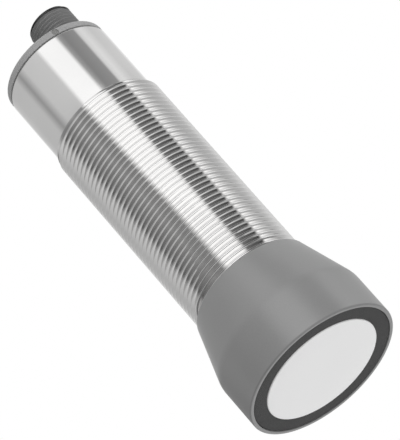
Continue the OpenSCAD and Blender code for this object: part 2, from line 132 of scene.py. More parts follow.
# %% [markdown]
# ## Materials start from one shader
# Each finish is one Principled shader with a few nodes before it, and the same few steps come back in
# all of them. Two small classes hold those steps, one for any tree of nodes and one for a finish. What
# is the same all over a surface, such as metal or not, is set on the shader itself.

# %% Helpers for nodes and finishes
# The Mix node keeps its colours at these places.
FIRST_COLOUR, SECOND_COLOUR, MIXED_COLOUR = 6, 7, 2


def spaced(values):
    """Values by socket labels, which have spaces where names have underscores."""
    return {label.replace("_", " "): value for label, value in values.items()}


class Nodes:
    """Steps that add nodes to one tree. A value is another node's socket, a number or a colour."""

    def __init__(self, tree):
        self.tree = tree

    def feed(self, socket, value):
        """Links or sets one input."""
        if isinstance(value, bpy.types.NodeSocket):
            self.tree.links.new(value, socket)
        else:
            socket.default_value = (*value, 1) if isinstance(value, tuple) else value

    def add(self, kind, inputs=None, **settings):
        """Adds a node, feeds its inputs and returns its outputs."""
        node = self.tree.nodes.new(kind)
        for name, value in settings.items():
            setattr(node, name, value)
        for label, value in (inputs or {}).items():
            self.feed(node.inputs[label], value)
        return node.outputs

    def math(self, kind, first, second=0.0):
        """One step of arithmetic."""
        return self.add("ShaderNodeMath", {0: first, 1: second}, operation=kind)[0]

    def blend(self, mask, first, second):
        """A colour between two colours, by a mask."""
        inputs = {"Factor": mask, FIRST_COLOUR: first, SECOND_COLOUR: second}
        return self.add("ShaderNodeMix", inputs, data_type="RGBA")[MIXED_COLOUR]

    def between(self, value, at_start, at_end, start=0.0, end=1.0):
        """A number that runs between two numbers, as the value runs from start to end."""
        inputs = {"Value": value, "From Min": start, "From Max": end, "To Min": at_start, "To Max": at_end}
        return self.add("ShaderNodeMapRange", inputs)[0]

    def mask(self, value, start, end):
        """A mask that is 0 up to the start and 1 past the end."""
        return self.between(value, 0, 1, start, end)

    def place(self):
        """The Object coordinates, which stay where they are on a piece."""
        return self.add("ShaderNodeTexCoord")["Object"]

    def parts(self):
        """X, Y and Z of the Object coordinates."""
        each = self.add("ShaderNodeSeparateXYZ", {0: self.place()})
        return each["X"], each["Y"], each["Z"]

    def from_axis(self, axis):
        """X from an upright axis at x = axis, Y, Z and the radius."""
        x, y, z = self.parts()
        across = self.math("SUBTRACT", x, axis)
        squares = self.math("ADD", self.math("POWER", across, 2.0), self.math("POWER", y, 2.0))
        return across, y, z, self.math("SQRT", squares)

    def noise(self, scale, detail, roughness=0.5, place=None):
        """A Noise texture on the Object coordinates or on another place."""
        if place is None:
            place = self.place()
        inputs = {"Vector": place, "Scale": scale, "Detail": detail, "Roughness": roughness}
        return self.add("ShaderNodeTexNoise", inputs)["Fac"]


class Finish(Nodes):
    """One material while it is being put together."""

    def __init__(self, name):
        self.material = bpy.data.materials.new(name)
        self.material.use_nodes = True
        super().__init__(self.material.node_tree)
        self.shader = self.tree.nodes["Principled BSDF"]

    def effect(self, group, **values):
        """The result of a shared effect, with its own values here."""
        return self.add("ShaderNodeGroup", spaced(values), node_tree=group)[0]

    def bump(self, height, depth):
        """A bump of a real depth in metres."""
        return self.add("ShaderNodeBump", {"Height": height, "Distance": depth})["Normal"]

    def done(self, colour, roughness, normal=None, **constants):
        """Feeds the shader and returns the material."""
        varied = {"Base Color": colour, "Roughness": roughness, "Normal": normal}
        for label, value in {**varied, **spaced(constants)}.items():
            if value is not None:
                self.feed(self.shader.inputs[label], value)
        return self.material

    def end_in(self, shader, clear=None):
        """Ends the material in a shader, which is clear where a mask says so."""
        if clear is not None:
            nothing = self.add("ShaderNodeBsdfTransparent")[0]
            shader = self.add("ShaderNodeMixShader", {0: clear, 1: shader, 2: nothing})[0]
        self.feed(self.tree.nodes["Material Output"].inputs["Surface"], shader)

    def glow(self, colour, strength=1.0, clear=None):
        """Ends the material in paper that glows, and returns it."""
        self.end_in(self.add("ShaderNodeEmission", {"Color": colour, "Strength": strength})[0], clear)
        self.tree.nodes.remove(self.shader)
        return self.material


def grey(level, warm=0.0):
    """A near-neutral colour; warm lifts its red and lowers its blue."""
    return (level * (1 + warm), level, level * (1 - warm))


print("finishes start from", bpy.app.version_string)

# %% [markdown]
# ## The studio
# A polished round bar shows the room as stripes along its length: each strip of wall lights one line on
# the metal. The photographer had pale walls, a bright strip in front and dark cards beside it. Lamps
# and cards could be set up one by one, but it is quicker to stand a ring of glowing paper round the
# object and to paint its brightness over the compass angle with a colour ramp. Each part of the metal
# mirrors another height of the ring, so it has four bands: two for the flanks of the thread, one for
# its crests, and one for the plain part. The camera itself doesn't see the ring.

# %% The brightness of the walls
# Compass angle in degrees and brightness. 0 is the camera's side, and angles grow to the lower left.
WALL_HIGH = [(-180, 1.2), (-162, 0.95), (-145, 0.75), (-112, 0.74), (-90, 0.92), (-80, 0.82),
             (-75, 0.36), (-50, 0.29), (-40, 0.42), (-33, 1.22), (4, 1.24), (12, 0.74), (52, 0.70),
             (69, 0.37), (84, 0.62), (125, 0.60), (150, 0.66), (165, 0.95), (180, 1.2)]
WALL_MIDDLE = [(-180, 1.0), (-150, 0.62), (-112, 0.52), (-100, 0.62), (-88, 1.1), (-79, 1.15), (-74, 0.36),
               (-50, 0.34), (-46, 0.38), (-40, 1.10), (-34, 1.40), (6, 1.42), (12, 0.56), (20, 0.42),
               (46, 0.42), (72, 0.34), (90, 0.60), (145, 0.62), (160, 0.95), (180, 1.2)]
WALL_LOW = [(-180, 0.75), (-125, 0.75), (-98, 0.95), (-80, 1.75), (-74, 0.08), (-62, 0.14), (-48, 0.20),
            (-42, 0.26), (-36, 1.50), (-31, 1.75), (3, 1.8), (9, 0.95), (14, 0.34), (24, 0.34),
            (36, 0.42), (50, 0.33), (76, 0.16), (88, 0.58), (100, 0.58), (125, 0.25), (160, 0.40),
            (180, 0.9)]
WALL_UNDER = [(-180, 1.1), (-165, 0.9), (-150, 0.85), (-142, 0.82), (-134, 0.60), (-122, 0.50),
              (-110, 0.55), (-97, 1.0), (-82, 1.0), (-76, 0.45), (-50, 0.45), (-42, 1.0), (-10, 1.0),
              (20, 0.55), (50, 0.35), (85, 0.40), (97, 0.66), (112, 0.74), (130, 0.52), (141, 0.60),
              (148, 0.95), (153, 1.2), (180, 1.1)]


def paint_ramp(mix, share, stops):
    """A colour ramp over a share from 0 to 1; each stop is a place and a brightness."""
    ramp = mix.tree.nodes.new("ShaderNodeValToRGB")
    elements = ramp.color_ramp.elements
    elements.remove(elements[1])
    for i, (place, level) in enumerate(stops):
        stop = elements[0] if i == 0 else elements.new(place)
        stop.position = place
        stop.color = (*grey(level), 1)
    mix.feed(ramp.inputs["Fac"], share)
    return ramp.outputs["Color"]


print("stops:", len(WALL_HIGH), len(WALL_MIDDLE), len(WALL_LOW), len(WALL_UNDER))

# %% [markdown]
# The ring is an open cylinder with its normals turned inwards, painted by one emission shader. The angle
# comes from the two level Object coordinates, and the height picks the band. Seen from outside it is
# clear, so a camera that stands outside looks through it.

# %% Stand the ring up
RING_R, RING_BOTTOM, RING_TOP = 0.5, -0.6, 1.6
BAND_EDGES = [(-0.02, 0.02), (0.285, 0.300), (0.378, 0.388)]

glow = Finish("glowing_paper")
x, y, z = glow.parts()
compass = glow.math("ARCTAN2", glow.math("MULTIPLY", x, -1), glow.math("MULTIPLY", y, -1))
turn_share = glow.mask(compass, -math.pi, math.pi)
painted, *bands = [paint_ramp(glow, turn_share, [((angle + 180) / 360, level) for angle, level in wall])
                   for wall in (WALL_UNDER, WALL_LOW, WALL_MIDDLE, WALL_HIGH)]
for band, (start, end) in zip(bands, BAND_EDGES):
    painted = glow.blend(glow.mask(z, start, end), painted, band)
outside = glow.add("ShaderNodeNewGeometry")["Backfacing"]


def hang_paper(name, material):
    """Names and papers the sheet that was just added, with its origin in the middle of the room."""
    sheet = bpy.context.object
    sheet.name = name
    bpy.ops.object.transform_apply(location=True)
    sheet.data.materials.append(material)
    return sheet


leave_selection()
bpy.ops.mesh.primitive_cylinder_add(
    vertices=128, radius=RING_R, depth=RING_TOP - RING_BOTTOM, end_fill_type="NOTHING",
    location=(0, 0, (RING_BOTTOM + RING_TOP) / 2))
ring = hang_paper("studio_ring", glow.glow(painted, clear=outside))
open_mesh(ring)
bpy.ops.mesh.flip_normals()
leave_selection()
ring.visible_camera = ring.visible_transmission = False
print("ring from", round(min(v.co.z for v in ring.data.vertices), 2), "m up")

# %% [markdown]
# The flanks that face the camera mirror what is straight below the sensor. There the ring is closed by
# a second sheet, white in the middle and grey towards both sides, so that the thread shines in front
# and is calmer beside it. Towards the camera it is brighter.

# %% Close the ring below
# Place across the room in metres and brightness.
FLOOR_LIGHT = [(-0.5, 0.8), (-0.40, 0.50), (-0.36, 0.48), (-0.30, 0.60), (-0.20, 0.60), (-0.16, 0.48),
               (-0.09, 0.48), (-0.04, 0.88), (0.12, 0.92), (0.19, 0.95), (0.26, 1.0), (0.32, 0.92),
               (0.36, 0.68), (0.42, 0.60), (0.46, 0.55), (0.5, 0.6)]
FRONT_Y, FRONT_STRENGTH = -0.12, 1.3

under = Finish("glowing_sheet")
x, y, _ = under.parts()
lit = paint_ramp(under, under.mask(x, -RING_R, RING_R),
                 [(side / (2 * RING_R) + 0.5, level) for side, level in FLOOR_LIGHT])
strength = under.between(y, FRONT_STRENGTH, 1.0, FRONT_Y, 0.0)
leave_selection()
bpy.ops.mesh.primitive_circle_add(vertices=64, radius=RING_R, fill_type="NGON", location=(0, 0, RING_BOTTOM))
sheet = hang_paper("studio_sheet", under.glow(lit, strength))
sheet.visible_camera = sheet.visible_transmission = False
print("the sheet below is", round(sheet.dimensions.x, 2), "m wide")

# %% [markdown]
# ## The floor
# The sensor stands on its sensing face, and the camera looks up at that face from below. So the floor is
# a sheet of pale paper that is clear from underneath and lets light pass on its way up, as a glass
# table does, or else the face would be black. From above it is an ordinary floor that carries the
# sensor's shadow. It fades into the white room before it meets the ring, so that no edge shows.

# %% Lay the floor
FLOOR_SIZE, FLOOR_GAP = 0.96, 0.05 * MM
FADE_START, FADE_END = 0.25, 0.46

paper = Finish("pale_paper")
paper.done(grey(0.93), 0.9, Specular_IOR_Level=0.2)
away = paper.add("ShaderNodeVectorMath", {0: paper.place()}, operation="LENGTH")["Value"]
faded = paper.mask(away, FADE_START, FADE_END)
below = paper.add("ShaderNodeNewGeometry")["Backfacing"]
paper.end_in(paper.shader.outputs[0], clear=paper.math("MAXIMUM", below, faded))
leave_selection()
bpy.ops.mesh.primitive_plane_add(size=FLOOR_SIZE, location=(0, 0, -FLOOR_GAP))
floor = hang_paper("studio_floor", paper.material)
floor.visible_diffuse = floor.visible_glossy = floor.visible_transmission = floor.visible_shadow = False
print("floor:", floor.dimensions.x, "m wide")

# %% [markdown]
# ## Sizes
# All lengths are metres. Heights and radii are read from the frame, so that each new piece lands on
# the solid that it stands for. What a box can't tell, such as a wall or an edge radius, is a number.

# %% Read the sizes


def low(node):
    """Lowest corner of a node."""
    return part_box(node)[0]


def high(node):
    """Highest corner of a node."""
    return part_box(node)[1]


def middle_of(node):
    """X, Y and Z of the middle of a node."""
    return [(least + most) / 2 for least, most in zip(low(node), high(node))]


def extent(node):
    """Radius, bottom and top of a round node."""
    return (high(node).y - low(node).y) / 2, low(node).z, high(node).z


head_r, _, head_top = extent("head_housing")
face_r, _, face_back = extent("matching_layer")
foam_r, foam_z, foam_top = extent("decoupling_ring")
thread_r, barrel_z, barrel_top = extent("threaded_barrel")
cap_r, plug_z, cap_top = extent("end_cap")
connector_r, shell_z, connector_top = extent("connector_shell")
connector_x = middle_of("connector_shell")[0]
THREAD_LENGTH = 58.9 * MM
thread_top = head_top + THREAD_LENGTH
plain_r = thread_r - 0.85 * MM
spigot_r = thread_r - 1.3 * MM
bore_r = thread_r - 2.8 * MM
socket_r, socket_z = 4.6 * MM, connector_top - 8.6 * MM
print("radius of the head", round(head_r / MM, 2), "and of the thread", round(thread_r / MM, 2), "mm")

# %% [markdown]
# ## Turning on a lathe
# Almost every piece is round, because it is turned or moulded round an axis. Here half of its outline is
# drawn as a chain of points, each extruded from the last as by hand, and spun.

# %% Helpers that draw an outline and spin it
SAME_PLACE = 0.001 * MM


def draw_outline(name, points, x=0.0):
    """A chain of edges through (radius, height) points, in the plane beside an axis at x."""
    leave_selection()
    bpy.ops.mesh.primitive_plane_add(size=MM, location=(0, 0, 0))
    piece = bpy.context.object
    piece.name = piece.data.name = name
    open_mesh(piece)
    bpy.ops.mesh.merge(type="CENTER")
    places = [Vector((x + r, 0, z)) for r, z in points]
    bpy.ops.transform.translate(value=places[0])
    for before, after in zip(places, places[1:]):
        bpy.ops.mesh.extrude_vertices_move(TRANSFORM_OT_translate={"value": after - before})
    return piece


def clean(piece):
    """Makes points in the same place one, and turns all faces outwards."""
    open_mesh(piece)
    bpy.ops.mesh.remove_doubles(threshold=SAME_PLACE)
    bpy.ops.mesh.normals_make_consistent(inside=False)
    leave_selection()


def spin_round(name, points, x=0.0, steps=96):
    """Spins an outline round the axis at x into a closed piece."""
    piece = draw_outline(name, points, x)
    bpy.ops.mesh.select_all(action="SELECT")
    bpy.ops.mesh.spin(steps=steps, angle=math.tau, center=(x, 0, 0), axis=(0, 0, 1))
    clean(piece)
    return piece


def arc(centre_r, centre_z, r, start, end, count):
    """Points along an arc, from one angle to another in degrees."""
    angles = [math.radians(start + (end - start) * i / count) for i in range(count + 1)]
    return [(centre_r + r * math.cos(t), centre_z + r * math.sin(t)) for t in angles]


def rounded(corner_r, corner_z, r, start, end, count):
    """Points that round off a square corner, on the side that the angles face."""
    facing = math.radians((start + end) / 2)
    return arc(corner_r - math.copysign(r, math.cos(facing)), corner_z - math.copysign(r, math.sin(facing)),
               r, start, end, count)


def seal_groove(r, floor_r, seal, half):
    """The four points of the square groove that a seal ring sits in, from below."""
    z = middle_of(seal)[2]
    return [(r, z - half), (floor_r, z - half), (floor_r, z + half), (r, z + half)]


def stands_for(piece, node, slot_name, material, angle=30, flats=False):
    """Smooths a piece, with flat flanks and walls if asked, and puts it in a node's place."""
    take(piece)
    bpy.ops.object.shade_smooth_by_angle(angle=math.radians(angle))
    if flats:
        apply_modifier(piece, "WEIGHTED_NORMAL", keep_sharp=True)
    piece.data.materials.clear()
    piece.data.materials.append(material)
    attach(piece, "root")
    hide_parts(node)
    print(node, "->", piece.name, len(piece.data.polygons), "faces")


def mould(name, outline, *place_and_finish):
    """Spins a moulded piece finely and puts it in a node's place."""
    stands_for(spin_round(name, outline, steps=128), *place_and_finish)


print("the lathe is ready")

# %% [markdown]
# ## Effects that the finishes share
# Moulded plastic carries the fine grain of its mould, turned metal the lines of the cutting tool, and
# everything has faint clouds, where colour and polish vary a little. Each is a node group that is built
# once and used with other values. Grain and clouds are noise of two sizes, and tool lines are noise
# that is squeezed along the axis into fine rings. An image of real scratches would have a seam and a
# fixed sharpness, and noise has neither.

# %% Grain, tool lines and clouds
RINGS_ACROSS = 40.0


class Effect(Nodes):
    """A shared effect while it is being built: a group with number inputs and one result."""

    def __init__(self, name, **inputs):
        super().__init__(bpy.data.node_groups.new(name, "ShaderNodeTree"))
        for label, value in spaced(inputs).items():
            socket = self.tree.interface.new_socket(label, in_out="INPUT", socket_type="NodeSocketFloat")
            socket.default_value = value
        self.given = self.tree.nodes.new("NodeGroupInput").outputs

    def gives(self, label, value):
        """Sets the result and returns the group."""
        self.tree.interface.new_socket(label, in_out="OUTPUT", socket_type="NodeSocketFloat")
        self.feed(self.tree.nodes.new("NodeGroupOutput").inputs[label], value)
        return self.tree


grain = Effect("mould_grain", Scale=3000.0)
pits = grain.noise(grain.given["Scale"], 3, 0.6)
MOULD_GRAIN = grain.gives("Height", grain.mask(pits, 0.3, 0.7))

rings = Effect("tool_lines", Axis=0.0, Density=9000.0)
across, deep, up, radius = rings.from_axis(rings.given["Axis"])
lines = rings.add("ShaderNodeCombineXYZ", {
    "X": rings.math("MULTIPLY", across, RINGS_ACROSS), "Y": rings.math("MULTIPLY", deep, RINGS_ACROSS),
    "Z": rings.math("MULTIPLY", rings.math("ADD", up, radius), rings.given["Density"])})[0]
TOOL_LINES = rings.gives("Height", rings.noise(1.0, 2, place=lines))

clouds = Effect("clouds", Scale=120.0)
drift = clouds.noise(clouds.given["Scale"], 3)
CLOUDS = clouds.gives("Mask", clouds.mask(drift, 0.25, 0.75))
print("shared effects:", [g.name for g in bpy.data.node_groups])

# %% [markdown]
# The colour of a thread can differ between its grooves and its crests. On the barrel the grooves are darker,
# partly a little dirt and partly painted shade in the hollows, and on the connector they are paler, as
# painted light. This group turns the distance from the axis into a mask that is 0 at the root of a thread and
# 1 at its crest.

# %% Crest mask
crests = Effect("crests", Axis=0.0, Root=0.0, Crest=1.0)
radius = crests.from_axis(crests.given["Axis"])[3]
CRESTS = crests.gives("Mask", crests.mask(radius, crests.given["Root"], crests.given["Crest"]))
print("crest mask made")

# %% [markdown]
# ## Finishes of the outside
# The plated barrel is a metal, whose colour shows only in what it mirrors. Behind the thread it was only
# ground and plated, so its polish is finer and the stripes of the room have crisper edges there. That is
# a finish of its own.

# %% Plated nickel
NICKEL_GROOVE = {"Root": thread_r - 0.80 * MM, "Crest": thread_r - 0.60 * MM}


def metal_finish(name, tones, polish, cloud_scale, relief, depth, groove=None, metallic=1.0):
    """Metal: clouds in tone and polish, a fine relief, and grooves painted darker if it has a thread, for
    dirt and painted shade.
    """
    mix = Finish(name)
    haze = mix.effect(CLOUDS, Scale=cloud_scale)
    colour = mix.blend(haze, *tones)
    if groove:
        colour = mix.blend(mix.effect(CRESTS, **NICKEL_GROOVE), groove, colour)
    effect, values = relief
    return mix.done(colour, mix.between(haze, *polish), mix.bump(mix.effect(effect, **values), depth * MM),
                    Metallic=metallic)


# The darker grey in the grooves of the thread is partly dirt and partly painted shade in the hollows.
plated_nickel = metal_finish("plated_nickel", (grey(0.72, 0.004), grey(0.76, 0.006)), (0.055, 0.08), 70,
                             (TOOL_LINES, {"Density": 9000}), 0.0004, groove=grey(0.55, 0.006))
plain_nickel = metal_finish("plain_nickel", (grey(0.71, 0.004), grey(0.76, 0.006)), (0.06, 0.09), 60,
                            (TOOL_LINES, {"Density": 7000}), 0.0005)
print("made", plated_nickel.name, plain_nickel.name)

# %% [markdown]
# The grey plastics and the foam are rough and matt, and the white face is a hard resin, a little smoother.
# All are moulded, so one function makes them. The head is darker at the very bottom, in the last half
# millimetre above its rim.

# %% Moulded plastics, resin and foam
EDGE_START, EDGE_END = 0.2 * MM, 0.5 * MM


def tone(colour, factor):
    """A colour made darker or paler."""
    return tuple(min(1.0, part * factor) for part in colour)


def moulded(name, base, rough=0.5, grain=3000, depth=0.012, spread=0.06, darker_bottom=None, **more):
    """Moulded stuff: clouds in its colour, grain of a depth in millimetres, perhaps a darker bottom edge."""
    mix = Finish(name)
    haze = mix.effect(CLOUDS, Scale=90)
    pits = mix.effect(MOULD_GRAIN, Scale=grain)
    ground = mix.blend(haze, tone(base, 1 - spread), tone(base, 1 + spread))
    colour = mix.blend(pits, ground, tone(base, 1 + 2 * spread))
    if darker_bottom:
        # Near the bottom of a piece its colour is made darker, up to half a millimetre above it.
        above = mix.mask(mix.parts()[2], EDGE_START, EDGE_END)
        colour = mix.blend(above, tone(base, darker_bottom), colour)
    roughness = mix.between(haze, rough - spread / 2, rough + spread / 2)
    return mix.done(colour, roughness, mix.bump(pits, depth * MM), **more)


head_plastic = moulded("head_plastic", grey(0.258), rough=0.34, depth=0.006, spread=0.03,
                       darker_bottom=0.78, Specular_IOR_Level=0.9)
cap_plastic = moulded("cap_plastic", grey(0.36), rough=0.42)
white_face = moulded("white_resin_face", grey(0.92), rough=0.45, grain=2600, depth=0.006, spread=0.01)
dark_foam = moulded("dark_foam", grey(0.046), rough=0.8, grain=4200, depth=0.05, spread=0.12)
print("moulded:", head_plastic.name, cap_plastic.name, white_face.name, dark_foam.name)

# %% [markdown]
# The connector's shell is a dark, dull metal, nearly all diffuse in the photo with just a faint line on each
# crest, so it is a rough grey surface here. By the crest mask its grooves are painted a little paler and its
# crests a little darker: painted light in the shade of the grooves and painted shade on the lit crests, which
# flattens the thread. The socket is lined with black plastic, whose collar shows as a dark rim round the
# mouth, and one mask of height and radius places both.

# %% The connector's dark metal
LINING_WALL, COLLAR_HEIGHT, COLLAR_EDGE = 0.3 * MM, 1.14 * MM, 0.02 * MM

dark = Finish("dark_shell")
tool = dark.effect(TOOL_LINES, Axis=connector_x, Density=9000)
haze = dark.effect(CLOUDS, Scale=150)
crest = dark.effect(CRESTS, Axis=connector_x, Root=connector_r - 0.5 * MM, Crest=connector_r - 0.05 * MM)
# Paler grooves and darker crests are painted light and painted shade that flatten the thread's relief.
metal = dark.blend(crest, dark.blend(haze, grey(0.235), grey(0.25)), grey(0.205))
_, _, up, radius = dark.from_axis(connector_x)
inside = dark.math("MULTIPLY", dark.math("LESS_THAN", radius, socket_r + LINING_WALL),
                   dark.math("GREATER_THAN", up, socket_z))
collar_z = connector_top - COLLAR_HEIGHT
plastic = dark.math("MAXIMUM", inside, dark.mask(up, collar_z - COLLAR_EDGE, collar_z + COLLAR_EDGE))
dark_shell = dark.done(dark.blend(plastic, metal, grey(0.014)), dark.between(haze, 0.32, 0.4),
                       dark.bump(tool, 0.001 * MM))
print("made", dark_shell.name)

# %% [markdown]
# The contacts are turned pins with a thin layer of gold, which stand in a black plastic carrier.

# %% The contacts
carrier_black = moulded("carrier_black", grey(0.03), rough=0.5, depth=0.004)
pin_gold = metal_finish("pin_gold", ((0.80, 0.58, 0.22), (0.86, 0.66, 0.30)), (0.16, 0.24), 400,
                        (TOOL_LINES, {"Axis": connector_x, "Density": 12000}), 0.0005)
print("made", carrier_black.name, pin_gold.name)

# %% [markdown]
# ## The barrel
# The barrel is turned from one brass bar, with a plain part, a long M30 thread of 1.5 mm pitch and a
# narrower spigot that is glued into the head, and then plated with nickel. A bump could fake the thread,
# but its bright and dark flanks are what the eye sees first, so it is cut for real: the outline of one
# pitch is drawn, and the Screw modifier winds it round and up.

# %% Wind the thread
THREAD_PITCH = 1.5 * MM
# In shares of the pitch: the depth, the curve of the root, the end of the flank, half the flat crest.
THREAD_DEPTH = 0.5413
ROOT_CURVE = [(0.0, -0.5), (0.012, -0.43), (0.055, -0.375)]
FLANK_END = (0.014, -1 / 16 - 0.008)
HALF_CREST = 0.056


def thread_pitch_outline(crest_r, pitch, z):
    """One pitch of a metric thread, from root to root: flat flanks at 60 degrees and a round root."""
    root_r = crest_r - THREAD_DEPTH * pitch
    half = [(root_r + out * pitch, up) for out, up in ROOT_CURVE]
    half += [(crest_r - FLANK_END[0] * pitch, FLANK_END[1]), (crest_r, -HALF_CREST)]
    rise = [(r, z + (0.5 + up) * pitch) for r, up in half]
    fall = [(r, 2 * z + pitch - height) for r, height in reversed(rise)]
    return rise + fall


def wind_thread(name, crest_r, pitch, bottom, top, x=0.0):
    """A right-handed thread, which reaches a turn past both ends."""
    piece = draw_outline(name, thread_pitch_outline(crest_r, pitch, bottom - 2 * pitch))
    leave_selection()
    apply_modifier(piece, "SCREW", angle=math.tau, screw_offset=pitch, steps=96, render_steps=96,
                   iterations=math.ceil((top - bottom) / pitch) + 3)
    open_mesh(piece)
    bpy.ops.mesh.remove_doubles(threshold=SAME_PLACE)
    if x:
        bpy.ops.transform.translate(value=(x, 0, 0))
    leave_selection()
    return piece


def turn_down(piece, limit, x=0.0):
    """Turns a piece down on the lathe: at each height no point stays further out than the limit."""
    for v in piece.data.vertices:
        r = math.hypot(v.co.x - x, v.co.y)
        most = limit(v.co.z)
        if r > most:
            v.co.x, v.co.y = x + (v.co.x - x) * most / r, v.co.y * most / r


thread_end_r = plain_r + 0.03 * MM
barrel = wind_thread("nickel_barrel", thread_r, THREAD_PITCH, head_top, thread_top)
turn_down(barrel, lambda z: thread_end_r + max(0.0, thread_top - z))
print("thread:", len(barrel.data.polygons), "faces")

# %% [markdown]
# The wound ridge reaches past both ends, and on a lathe the thread stops at a shoulder, so the mesh is
# cut level. The bisect tool cuts a clean ring, which a Boolean with a thin wall might not.

# %% Cut the thread to its length


def cut_level(piece, z, keep_below):
    """Cuts a piece at a height and throws one side away."""
    open_mesh(piece)
    bpy.ops.mesh.bisect(plane_co=(0, 0, z), plane_no=(0, 0, 1), clear_outer=keep_below,
                        clear_inner=not keep_below, threshold=0.1 * SAME_PLACE)
    leave_selection()


cut_level(barrel, thread_top, keep_below=True)
cut_level(barrel, head_top, keep_below=False)
print("thread from", round(head_top / MM, 1), "to", round(thread_top / MM, 1), "mm")

# %% [markdown]
# The rest of the barrel is an outline again: the plain part, the rear edge, the bore, and the spigot
# with the groove of its seal ring. The cut ends of the thread are open rings, and so are the ends of
# this outline, so the two are made one mesh and the flat gap between each pair of rings is filled. Such
# rings have other numbers of points, so a fill is safer than a bridge of edge to edge.

# %% Turn the rest of the barrel


def open_at(piece, parts, edges):
    """Edit mode on one piece, with only the given edges or faces selected."""
    take(piece)
    mesh = piece.data
    for part in (*mesh.vertices, *mesh.edges, *mesh.polygons):
        part.select = False
    for part in parts:
        part.select = True
        for i in part.vertices:
            mesh.vertices[i].select = True
    bpy.context.tool_settings.mesh_select_mode = (False, edges, not edges)
    bpy.ops.object.mode_set(mode="EDIT")


def join_rings(piece, z):
    """Fills the flat gap between the two open rings at a height."""
    open_mesh(piece)
    bpy.ops.mesh.select_mode(type="EDGE")
    bpy.ops.mesh.select_non_manifold(
        extend=False, use_wire=False, use_multi_face=False, use_non_contiguous=False, use_verts=False)
    leave_selection()
    places = piece.data.vertices
    rims = [line for line in piece.data.edges
            if line.select and abs(places[line.vertices[0]].co.z - z) <= 0.01 * MM]
    open_at(piece, rims, edges=True)
    bpy.ops.mesh.fill()
    leave_selection()


def add_rest(thread, name, outline, heights, x=0.0):
    """Spins the rest of a threaded piece and makes it one with the thread, at both of its ends."""
    rest = spin_round(name, outline, x)
    take(thread)
    rest.select_set(True)
    bpy.ops.object.join()
    for z in heights:
        join_rings(thread, z)
    clean(thread)


rear_edge = 0.35 * MM
first_ring = 4 * MM
barrel_rest = [(plain_r, thread_top), (plain_r, thread_top + first_ring), (plain_r, barrel_top - rear_edge)]
barrel_rest += rounded(plain_r, barrel_top, rear_edge, 15, 75, 3)
barrel_rest += [(plain_r - rear_edge, barrel_top), (bore_r, barrel_top), (bore_r, barrel_z),
                (spigot_r - rear_edge, barrel_z), (spigot_r, barrel_z + rear_edge)]
barrel_rest += seal_groove(spigot_r, spigot_r - 0.99 * MM, "head_seal", 0.52 * MM) + [(spigot_r, head_top)]
add_rest(barrel, "plain_part", barrel_rest, (thread_top, head_top))
stands_for(barrel, "threaded_barrel", "nickel_brass", plated_nickel, angle=50, flats=True)

# %% [markdown]
# The barrel stays one mesh, because it is one piece of metal. Its faces behind the thread are chosen by
# their height and get the second finish.

# %% Give the plain part its own finish
barrel.data.materials.append(plain_nickel)
plain_faces = [face for face in barrel.data.polygons if face.center.z > thread_top + 0.02 * MM]
for face in plain_faces:
    face.material_index = 1
print(barrel.name, "has", len(plain_faces), "faces of", plain_nickel.name)

# %% [markdown]
# ## The moulded head
# The head is an injection moulding: a straight part round the transducer and a cone that comes down to
# the barrel. Its outline has small arcs where the mould rounds its edges. Inside are the chamber of the
# transducer, a floor with a passage for the leads, and the socket of the barrel.

# %% Spin the head
neck_r = thread_r + 0.8 * MM
chamber_r = head_r - 1.0 * MM
spigot_hole_r = spigot_r + 0.05 * MM
lead_hole_r, chamber_roof = 4.2 * MM, 15.5 * MM
lip_z, lip_edge, rim_edge, neck_edge = 0.2 * MM, 0.15 * MM, 0.4 * MM, 0.6 * MM
straight, shoulder = 12.4 * MM, 8 * MM
cone = math.atan2(head_r - neck_r, head_top - straight)
shoulder_start = straight - shoulder * math.tan(cone / 2)
head_outline = [(chamber_r, lip_z)] + rounded(chamber_r, 0, lip_edge, 180, 270, 3)
head_outline += rounded(head_r, 0, rim_edge, -90, 0, 6)
head_outline += arc(head_r - shoulder, shoulder_start, shoulder, 0, math.degrees(cone), 8)
head_outline += arc(neck_r - neck_edge, head_top - neck_edge, neck_edge, math.degrees(cone), 90, 5)
head_outline += [(spigot_hole_r, head_top), (spigot_hole_r, chamber_roof), (lead_hole_r, chamber_roof),
                 (lead_hole_r, foam_top), (chamber_r, foam_top), (chamber_r, lip_z)]
mould("moulded_head", head_outline, "head_housing", "moulded_grey", head_plastic)

# %% [markdown]
# The sounding face is a disc of glass-filled resin that the sound passes through. It is flat, with a
# small round where the mould ends.

# %% The white sounding face
face_edge = 0.25 * MM
face_outline = [(0, 0), (face_r * 0.5, 0), (face_r - face_edge, 0)]
face_outline += rounded(face_r, 0, face_edge, -70, 0, 4)
face_outline += [(face_r, face_back), (0, face_back)]
mould("sounding_face", face_outline, "matching_layer", "white_resin", white_face)

# %% [markdown]
# The foam cup holds the disc and keeps its sound out of the housing. From outside only its ring is
# seen, flush with the rim of the head.

# %% The foam cup
foam_edge = 0.2 * MM
foam_in_r = face_r + 0.05 * MM
cup_hole_r, cup_floor = 6 * MM, 11 * MM
foam_outline = [(foam_in_r, foam_z + foam_edge)]
foam_outline += rounded(foam_in_r, foam_z, foam_edge, 200, 270, 3)
foam_outline += [((foam_in_r + foam_r) / 2, foam_z)]
foam_outline += rounded(foam_r, foam_z, foam_edge, -90, 0, 4)
foam_outline += [(foam_r, foam_top), (cup_hole_r, foam_top), (cup_hole_r, cup_floor), (foam_in_r, cup_floor),
                 (foam_in_r, foam_z + foam_edge)]
mould("foam_cup", foam_outline, "decoupling_ring", "dark_foam", dark_foam)

# %% [markdown]
# ## The end cap
# The cap is a moulding too: a plug that fits the bore, with a groove for its seal ring, and a rounded
# lid. Between the lid and the barrel there is a shadow groove.

